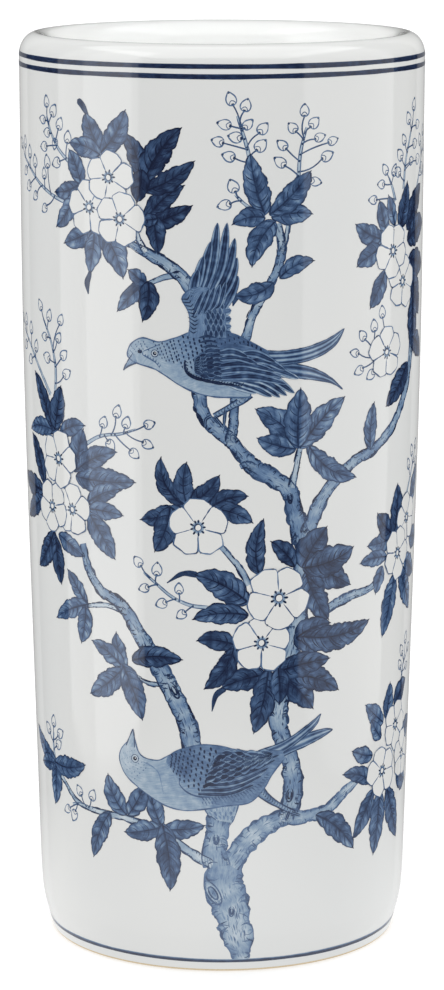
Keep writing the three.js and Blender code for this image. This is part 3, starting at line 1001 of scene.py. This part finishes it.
# Clusters of leaves: the base, tip and width of each, then how far it bows to its left and its cobalt,
# where they aren't leaf()'s usual ones.
LEAVES = {
    "upper_left_crown": [(-61+406j, -69+423j, 10), (-60+405j, -46.5+425.5j, 11, -0.05),
        (-60+404j, -79.5+408.5j, 10, -0.08)],
    "upper_left_wing": [(-72+389j, -80+405j, 10, -0.05), (-73+389j, -91+384j, 9, 0.05),
        (-76+385j, -90+367.5j, 10, 0.05)],
    "upper_left_skirt": [(-65+368j, -84+360j, 10, 0.05), (-64+367j, -67+347j, 9),
        (-60+369j, -48+346j, 13, 0.05)],
    "upper_dark": [(-38+393j, -47.5+415j, 9, -0.1, 0.78), (-37+391j, -19+418j, 13, 0.08, 0.81),
        (-37+388j, -13+402.5j, 9, -0.04, 0.81), (-38+398j, -40.5+382.5j, 9, 0.0, 0.81)],
    "upper_dark_small": [(-37+372j, -17.7+391j, 9, 0.06, 0.81), (-35+372j, -14+381.5j, 9, -0.06, 0.81),
        (-32+377j, -30+358.6j, 9, 0.0, 0.79), (-30+375j, -38.9+373j, 6, 0.0, 0.81)],
    "upper_left_drops": [(-36+344j, -51+330j, 8, -0.05), (-36+344j, -45+350j, 7),
        (-35+345j, -38+326j, 10, 0.05, 0.79)],
    "top_branch_leaves": [(27+347j, 44+354.5j, 8, 0.08), (24+345j, 6+339j, 10, 0.12),
        (25+374j, 14+353j, 11, -0.08)],
    "top_crown": [(23+376j, 43+377j, 10, 0.06), (22+377j, 42+397j, 11, -0.06), (20+377j, 13+406j, 11, 0.05),
        (20+376j, 5+373j, 9, -0.1)],
    "perch_crown": [(38+265j, 16+284j, 13, -0.06), (36+264j, 17+270j, 10, 0.05),
        (42+266j, 70+247j, 11, -0.1), (38+264j, 62+287j, 13, 0.05), (37+264j, 38+293j, 13)],
    "limb_leaves": [(80+259j, 82+282j, 9, 0.08), (113+298j, 92+279j, 13, 0.05, 0.79)],
    "heart_crown": [(-18+237j, -29.5+260j, 8, 0.14, 0.75), (-17+238j, -17+258j, 10, 0.06, 0.75),
        (-15+238j, -1.5+252j, 10, -0.08, 0.76), (-6+236j, 12+242j, 9, 0.1, 0.76),
        (-5+236j, 14.5+229j, 10, 0.08, 0.75)],
    "heart_left": [(-18+236j, -40+229j, 10, 0.06, 0.74), (-25+236j, -33+214j, 11, 0.05, 0.75)],
    "heart_sprig": [(18+203j, 20+230j, 9, 0.08, 0.75), (36+206j, 24+219j, 9, -0.05, 0.79)],
    "heart_right": [(40+205j, 53+224j, 14, 0.05, 0.76), (42+203j, 55+178j, 12, -0.05, 0.74),
        (42+204j, 68+193.5j, 13, 0.06, 0.75), (40+205j, 69.5+212j, 14, -0.06, 0.76)],
    "heart_low_right": [(37+173j, 48+162j, 9, 0.0, 0.76), (37+170j, 56+176j, 12, 0.1, 0.75),
        (40+171j, 82+173.5j, 13, -0.06, 0.75)],
    "heart_low_left": [(13+189j, -13+203j, 13, -0.05, 0.75), (13+183j, -14+181j, 10, -0.08, 0.75),
        (7+168j, -12+170.5j, 9, -0.08, 0.75), (6+168j, -8.5+146.5j, 10, 0.08, 0.76)],
    "heart_skirt": [(22+153j, 0+147j, 11, -0.06, 0.75), (23+156j, 16+124j, 13, 0.06, 0.74),
        (30+152j, 47+134j, 12, 0.05, 0.74), (32+152j, 62+141.5j, 12, 0.05, 0.75),
        (28+154j, 56+158j, 13, 0.06, 0.76), (28+156j, 29+138j, 10, 0.0, 0.75)],
    "left_crown": [(-95+266j, -124+263j, 9, -0.06), (-97+267j, -115+293j, 10, -0.06, 0.78),
        (-90+266j, -72+272j, 9, 0.08), (-95+266j, -89+289j, 12, 0.0, 0.78)],
    "left_mid_right": [(-79+248j, -73+270j, 13), (-78+249j, -53+261j, 11, 0.05), (-79+246j, -43+247j, 12),
        (-71+234j, -51+243j, 9, 0.05), (-70+231j, -50+230j, 9), (-70+229j, -55+208j, 12)],
    "left_mid_skirt": [(-98+216j, -117+195j, 12, 0.05, 0.78), (-97+214j, -93+190j, 10, 0.0, 0.78),
        (-94+215j, -75+207j, 9)],
    "left_mid_left": [(-107+238j, -122+261j, 11, -0.05, 0.78), (-108+234j, -141+238j, 12, 0.04, 0.78),
        (-108+230j, -136+217j, 11, 0.0, 0.76)],
    "left_twig_leaves": [(-73+182j, -87+198j, 8), (-72+183j, -98+172j, 10, -0.05),
        (-74+182j, -78+163j, 10, 0.05)],
    "left_star": [(-50+153j, -55+171j, 9, 0.05), (-51+154j, -70+165j, 9, -0.05),
        (-51+154j, -72+138j, 11, 0.06), (-52+156j, -41+129j, 11, 0.05),
        (-46+158j, -20+160.5j, 11, 0.06, 0.78)],
    "low_star": [(-31+75j, -37+94j, 9, 0.06), (-31+75j, -52+70j, 11, 0.05), (-31+74j, -9+77j, 10, -0.05),
        (-31+77j, -27+43j, 13, 0.03)],
    "low_pair": [(-51+79j, -62+98j, 10, 0.08), (-50+79j, -40+97j, 10, -0.05)],
    "low_droop": [(-61+79j, -73+54j, 10, -0.08)],
    "low_left_star": [(-104+96j, -133+109j, 9, 0.06), (-105+95j, -124+92j, 9),
        (-105+97j, -107+74j, 11, 0.04), (-106+96j, -78+100j, 11, -0.05)],
    "branch_leaf": [(50+79j, 75+58j, 11, 0.08)],
    "low_right_crown": [(98+118j, 82+130j, 9), (101+119j, 104+137j, 10),
        (110+124j, 127+134j, 12, 0.06, 0.76), (96+110j, 87+121j, 8), (89+103j, 73+108j, 8, 0.05)],
    "low_right_skirt": [(90+88j, 67+97j, 9, -0.08), (90+85j, 75+63j, 11), (97+84j, 92+51j, 14, 0.03),
        (104+83j, 119+54j, 14, -0.03), (116+86j, 134+80j, 12, 0.05), (122+104j, 141+112j, 11)],
    "mid_right_crown": [(102+212j, 80+211j, 9, 0.05), (102+213j, 87+226j, 11, 0.06, 0.76),
        (103+213j, 105+238j, 12, -0.06, 0.78), (96+203j, 75+203j, 8, -0.08)],
    "mid_right_skirt": [(92+199j, 87+186j, 8), (105+193j, 94+163j, 13), (110+193j, 128+171j, 14, 0.03),
        (116+198j, 136+188j, 12), (124+208j, 141+205j, 11), (124+226j, 136+243j, 10)],
    "top_right_left": [(88+361j, 68+370j, 10, 0.05), (86+357j, 69+350j, 10, -0.06),
        (89+346j, 78+329j, 10, 0.05), (90+364j, 84+380j, 8), (101+366j, 109+387j, 10, -0.05, 0.78),
        (97+367j, 91+382j, 8)],
    "top_right_dark": [(109+364j, 130+384j, 13, 0.0, 0.83), (110+358j, 138+364j, 14, 0.05, 0.83),
        (112+350j, 137+344j, 14, 0.0, 0.83), (112+345j, 130+320j, 14, 0.0, 0.83),
        (118+332j, 119+303j, 13, 0.05, 0.81), (118+310j, 137+298j, 12, 0.05, 0.79)],
}

# Curled leaf tips: a path, the stroke's width, and how much of it is thin at each end.
LEAF_TIPS = {
    "heart_curl": ([-11+203j, -19+203.5j, -27+198.5j], 3.0, (0.1, 0.9)),
    "lower_curl": ([2+147j, -3+143j, -5+135j], 3.0, (0.1, 0.9)),
    "droop_curl": ([8+340j, 6+337j, 5+334j], 3.0, (0.1, 0.9)),
    "upper_left_curl": ([-66.8+421j, -68.8+424j, -71+427j, -74+429.4j], 3.5, (0.75, 0.12)),
    "skirt_curl": ([-66.4+350j, -67.3+345.8j, -68.8+342j, -68.1+336.6j], 3.4, (0.55, 0.5)),
}

# Flowers of each group, in the order painted: middle, radius, and how far the first petal is turned.
FLOWERS = {
    "upper_left": [(-67+378.5j, 13.2, 0.4), (-55.5+393.5j, 13.0, 1.4), (-49.5+374j, 13.2, 0.1)],
    "heart": [(-11.5+226.5j, 14.4, 1.6), (19.5+169j, 14.5, 0.3), (28+191j, 16.2, 1.0)],
    "left_mid": [(-82+229j, 13.0, 0.2), (-99+228j, 13.2, 0.9), (-92+253j, 14.0, 1.3)],
    "low_right": [(112+114j, 13.0, 1.2), (124+96j, 12.5, 0.3), (98+93j, 13.5, 0.6)],
    "mid_right": [(118+219j, 13.0, 0.5), (107+203j, 13.2, 1.1)],
    "top_right": [(105+339j, 13.0, 0.2), (95+355j, 13.2, 0.9)],
    "top_right_pale": [(91+306j, 13.0, 0.3)],
}

# Sprays: the stem, and the middle of each bud.
BUD_SPRAYS = {
    "top_buds_a": ([13+402j, 11+411j, 7+424j],
        [4+432j, 11+429j, 1+420j, 12+420j, 19+418j, 6+414j, -2+412j, 18+410j, 3+405j]),
    "top_buds_b": ([36+394j, 37+406j, 40+418j],
        [39+426j, 44+420j, 33+418j, 54+411j, 28+410j, 47+413j, 51+404j, 27+402j, 45+392j]),
    "top_buds_c": ([18+378j, 11+382j, 6+387j], [5+391j, 1+382j]),
    "upper_left_buds_a": ([-78+398j, -87+404j, -94+412j, -98+420j],
        [-98+427j, -92+423j, -102+418j, -98+412j, -87+417j, -81+411j, -91+407j, -101+405j, -90+398j]),
    "upper_left_buds_b": ([-80+379j, -93+382j, -106+387j, -119+394j, -129+399j],
        [-134+404j, -126+405j, -118+401j, -125+391j, -111+397j, -120+384j, -111+380j, -101+392j, -101+375j,
         -98+398j]),
    "left_buds_a": ([-94+284j, -93+298j, -97+311j, -104+321j],
        [-107+327j, -98+323j, -88+322j, -103+312j, -90+313j, -86+305j, -101+302j, -84+296j]),
    "left_buds_b": ([-98+284j, -110+296j, -122+306j, -133+312j],
        [-138+317j, -129+317j, -120+314j, -131+304j, -113+306j, -122+298j]),
    "left_buds_c": ([-73+262j, -62+268j, -51+270j, -42+273j],
        [-35+276j, -36+266j, -43+261j, -47+276j, -52+281j, -60+275j, -56+264j]),
    "heart_buds": ([-7+187j, -16+188j, -25+192j, -34+199j, -39+203j],
        [-42+208j, -32+205j, -39+195j, -30+188j, -21+196j, -20+183j]),
    "low_left_buds": ([-106+98j, -107+106j, -106+111j], [-106+117j, -99+112j, -113+112j, -101+106j]),
    "twig_buds": ([-76+78.5j, -82+79j, -89+78j], [-73+85.5j, -83+86j, -94+74j, -88+72j]),
    "low_right_buds": ([118+132j, 121+141j, 124+148j], [125+156j, 118+151j, 131+150j, 116+144j, 128+141j]),
    "mid_right_buds": ([118+232j, 124+241j, 129+248j], [132+254j, 124+252j, 134+245j, 119+246j]),
    "pale_buds": ([97+300j, 86+303j, 77+308j], [68+308j, 71+299j, 73+316j, 81+320j, 87+326j, 79+296j]),
    "top_right_buds_a": ([105+384j, 107+397j, 112+409j, 116+417j],
        [117+424j, 110+418j, 123+414j, 105+408j, 119+405j, 101+401j, 114+397j, 99+393j, 124+397j]),
    "top_right_buds_b": ([97+379j, 94+386j, 91+391j], [88+395j, 96+394j, 85+388j, 79+381j]),
    "top_right_buds_c": ([122+382j, 129+392j, 134+402j],
        [136+410j, 128+406j, 141+402j, 133+392j, 140+390j]),
}


def limb_tone(name):
    """A limb's wash and the strength of its lines: watery low down, dark under the upper bird."""
    if name in ("trunk", "perch_stub", "right_root_limb", "lower_right_branch"):
        return 0.37, 0.76
    if name in ("perch_limb", "perch_fork", "perch_stub_high"):
        return 0.50, 1.0
    return 0.43, 1.0


def flowering_tree(face):
    """The trunk, forking low down, and its limbs and twigs, with their leaves, flowers and buds."""
    for name, (knots, widths, *rings) in LIMBS.items():
        wash, ink = limb_tone(name)
        branch(name, knots, widths, face, wash, rings=rings, ink=ink)
    for name, (knots, widths) in TWIGS.items():
        branch(name, knots, widths, face, wash=0.28, bark=0.5)
    for name, rows in LEAVES.items():
        leaves(name, rows, face)
    for name, (path, width, press) in LEAF_TIPS.items():
        leaf_tip(name, path, width, press, face)
    for group, rows in FLOWERS.items():
        for number, (centre, radius, turn) in enumerate(rows, 1):
            blossom(f"{group}_blossom_{number}", centre, radius, turn, face, number)
    for name, (stem, buds) in BUD_SPRAYS.items():
        bud_spray(name, stem, buds, face)


# Each line's name, height, width, strength of cobalt, and how far it fades towards its upper edge.
RING_LINES = (
    ("rim_line_upper", 446.9, 2.3, 0.92, 0.06),
    ("rim_line_lower", 442.2, 2.3, 0.92, 0.06),
    ("foot_line", 6.4, 2.0, 0.90, 0.62),
)
RING_POINTS = 361
RING_DRIFT = 0.18          # mm up and down, as a hand-held brush drifts


def line_rings():
    """Three painted lines round the stand: two under the rim and a thinner, paler one above the foot."""
    for name, height, width, strength, fade in RING_LINES:
        art = Brushwork(name, "ring", ALL_ROUND)
        around = np.linspace(-HALF_ROUND, HALF_ROUND, RING_POINTS)
        drift = RING_DRIFT * smooth_noise(art.random, RING_POINTS, 0.04)
        drift[-1] = drift[0]
        ring = around + 1j * (height + drift)
        press = 1 + 0.12 * smooth_noise(art.random, RING_POINTS, 0.12)
        press[-1] = press[0]
        half = 0.5j * width * press
        across = np.linspace(1, -1, 9)
        cobalt = strength - fade * np.clip(across, 0, 1) ** 1.5 - 0.06 * across ** 4
        art.sheet(ring[:, None] + half[:, None] * across, cobalt)
        art.make()


BIRD_PARTS = (upper_bird_leg, upper_bird_raised_wing, upper_bird_tail, upper_bird_body,
              lower_bird_tail, lower_bird_legs, lower_bird_body)

for each_face in (FRONT, BACK):
    flowering_tree(each_face)
    for bird_part in BIRD_PARTS:
        bird_part(each_face)
line_rings()


# ---------------------------------------------------------------- floor, light and camera

FLOOR_SIZE = 60.0            # metres from its middle to its edges
FLOOR_GLOW = 0.55            # keeps the plain floor pale right up to the foot, as a lit studio table is
GLOW_RADIUS = 0.40           # metres
GLOW_FORWARD = 0.14          # its middle, in front of the stand's axis
GLOW_RADIANCE = 0.95
SKY, GROUND = 0.873, 0.89    # how bright the world is above and below the horizon
HORIZON = 8.0                # how sharply one turns into the other
SOFTBOX_DISTANCE = 1.6       # metres from the stand's axis
SOFTBOX_LOW = -0.40          # so low that the wall reflects it down to just above the turned-in foot
SOFTBOX_HIGH = 2.9


def staged_square(name, half, surface):
    """A level square at the floor's height, for the studio only, which diffuse light and shadows ignore."""
    mesh = bpy.data.meshes.new(name)
    corners = [(-half, -half, 0), (half, -half, 0), (half, half, 0), (-half, half, 0)]
    mesh.from_pydata(corners, [], [(0, 1, 2, 3)])
    mesh.materials.append(surface)
    made = bpy.data.objects.new(name, mesh)
    scene.collection.objects.link(made)
    made.visible_diffuse = False
    made.visible_shadow = False
    return made


def floor():
    made, _, shader, _ = material("studio_floor")
    shader.inputs["Roughness"].default_value = 0.9
    shader.inputs["Specular IOR Level"].default_value = 0.0
    shader.inputs["Base Color"].default_value = (0.5, 0.5, 0.5, 1)
    shader.inputs["Emission Color"].default_value = (1, 1, 1, 1)
    shader.inputs["Emission Strength"].default_value = FLOOR_GLOW
    staged_square("floor", FLOOR_SIZE, made).visible_glossy = False


def table_glow():
    """The bright table just in front, which only shows as a reflection low on the wall and in the foot."""
    made, tree, shader, place = material("table_glow")
    away = node(tree, "ShaderNodeVectorMath", operation="LENGTH")
    tree.links.new(place, away.inputs[0])
    distance = math_node(tree, "DIVIDE", away.outputs["Value"], GLOW_RADIUS)
    fade = ramp(tree, distance, [(0.3, (1, 1, 1)), (1.0, (0, 0, 0))])
    tree.links.new(fade, shader.inputs["Alpha"])
    shader.inputs["Emission Color"].default_value = (1, 1, 1, 1)
    shader.inputs["Emission Strength"].default_value = GLOW_RADIANCE
    shader.inputs["Base Color"].default_value = (0, 0, 0, 1)
    shader.inputs["Specular IOR Level"].default_value = 0.0
    glow = staged_square("table_glow", GLOW_RADIUS, made)
    glow.location.y = -GLOW_FORWARD
    glow.visible_camera = False


def studio_world():
    """White above the horizon and about as bright below it."""
    world = bpy.data.worlds.new("studio")
    world.use_nodes = True
    tree = world.node_tree
    direction = tree.nodes.new("ShaderNodeTexCoord").outputs["Generated"]
    split = node(tree, "ShaderNodeSeparateXYZ")
    tree.links.new(direction, split.inputs["Vector"])
    height = math_node(tree, "MULTIPLY_ADD", split.outputs["Z"], HORIZON, 0.5)
    shades = ramp(tree, height, [(0.0, (GROUND,) * 3), (1.0, (SKY,) * 3)])
    tree.links.new(shades, tree.nodes["Background"].inputs["Color"])
    world.cycles_visibility.glossy = False
    scene.world = world


def lamp(name, kind, energy, location=(0, 0, 0), rotation=(0, 0, 0), **settings):
    """A light, unseen in the glaze."""
    light = bpy.data.lights.new(name, kind)
    light.energy = energy
    for setting, value in settings.items():
        setattr(light, setting, value)
    made = bpy.data.objects.new(name, light)
    made.location = location
    made.rotation_euler = rotation
    made.visible_glossy = False
    scene.collection.objects.link(made)
    return made


def reflected(name, width, height, radiance, location, rotation=(0, 0, 0)):
    """An area light that only shows as a reflection in the glaze."""
    energy = radiance * math.pi * width * height
    made = lamp(name, "AREA", energy, location, rotation, shape="RECTANGLE", size=width, size_y=height)
    made.visible_glossy = True
    made.visible_diffuse = False


def softbox(name, direction, width, radiance, low=SOFTBOX_LOW, high=SOFTBOX_HIGH):
    """An upright softbox facing the stand, so many degrees round from the front, +X side +."""
    angle = math.radians(direction)
    away = SOFTBOX_DISTANCE
    location = (away * math.sin(angle), -away * math.cos(angle), (low + high) / 2)
    reflected(name, width, high - low, radiance, location, (math.radians(90), 0, angle))


def soft_sun(name, energy, direction, elevation, spread):
    """A broad sun at so many degrees round from the front and above the horizon."""
    rotation = (math.radians(90 - elevation), 0, math.radians(direction))
    lamp(name, "SUN", energy, rotation=rotation, angle=math.radians(spread))


def well_lamp():
    """A narrow lamp over the front, aimed through the mouth at the far side of the well."""
    place, target = (0, -1.0, 1.15), (0, 0.088, 0.442)
    pitch = math.atan2(target[1] - place[1], place[2] - target[2])
    lamp("well_lamp", "SPOT", energy=4.0, location=place, rotation=(pitch, 0, 0),
         spot_size=math.radians(9.5), spot_blend=0.6, shadow_soft_size=0.06)


def mouth_lamp():
    """A faint lamp just inside the mouth, for the light that the white well throws back up under its rim."""
    made = lamp("mouth_lamp", "POINT", energy=0.14, location=(0, 0.01, 0.405), shadow_soft_size=0.03)
    made.visible_camera = False


def lights():
    """A pale world and soft suns for the white of the glaze, two lamps for the well, and the reflections."""
    studio_world()
    table_glow()
    soft_sun("overhead_sun", energy=0.56, direction=0, elevation=84, spread=50)
    soft_sun("front_sun", energy=0.39, direction=0, elevation=35, spread=70)
    for side, sign in (("left", -1), ("right", 1)):
        soft_sun(f"{side}_rear_sun", energy=1.55, direction=132 * sign, elevation=10, spread=40)
        softbox(f"{side}_rear_softbox", 157 * sign, width=0.9, radiance=0.28, low=-2.7)
    softbox("left_softbox", -74.5, width=1.72, radiance=0.78)
    softbox("left_inner_softbox", -66, width=0.9, radiance=0.7)
    softbox("right_softbox", 78, width=2.05, radiance=0.67)
    softbox("back_softbox", 180, width=4.0, radiance=0.066, low=0.6)
    reflected("top_softbox", width=3.6, height=3.0, radiance=1.6, location=(0, -0.7, 2.2))
    well_lamp()
    mouth_lamp()


CAMERA_DISTANCE = 1.7886     # metres in front of the stand's axis
CAMERA_HEIGHT = 0.5739
CAMERA_PITCH = 11.09         # degrees, looking down
CAMERA_LENS = 130.8          # mm on a 36 mm sensor


def camera():
    lens = bpy.data.cameras.new("camera")
    lens.lens = CAMERA_LENS
    lens.clip_end = 100
    made = bpy.data.objects.new("camera", lens)
    made.location = (0, -CAMERA_DISTANCE, CAMERA_HEIGHT)
    made.rotation_euler = (math.radians(90 - CAMERA_PITCH), 0, 0)
    scene.collection.objects.link(made)
    scene.camera = made


floor()
lights()
camera()
scene.view_settings.view_transform = "Standard"
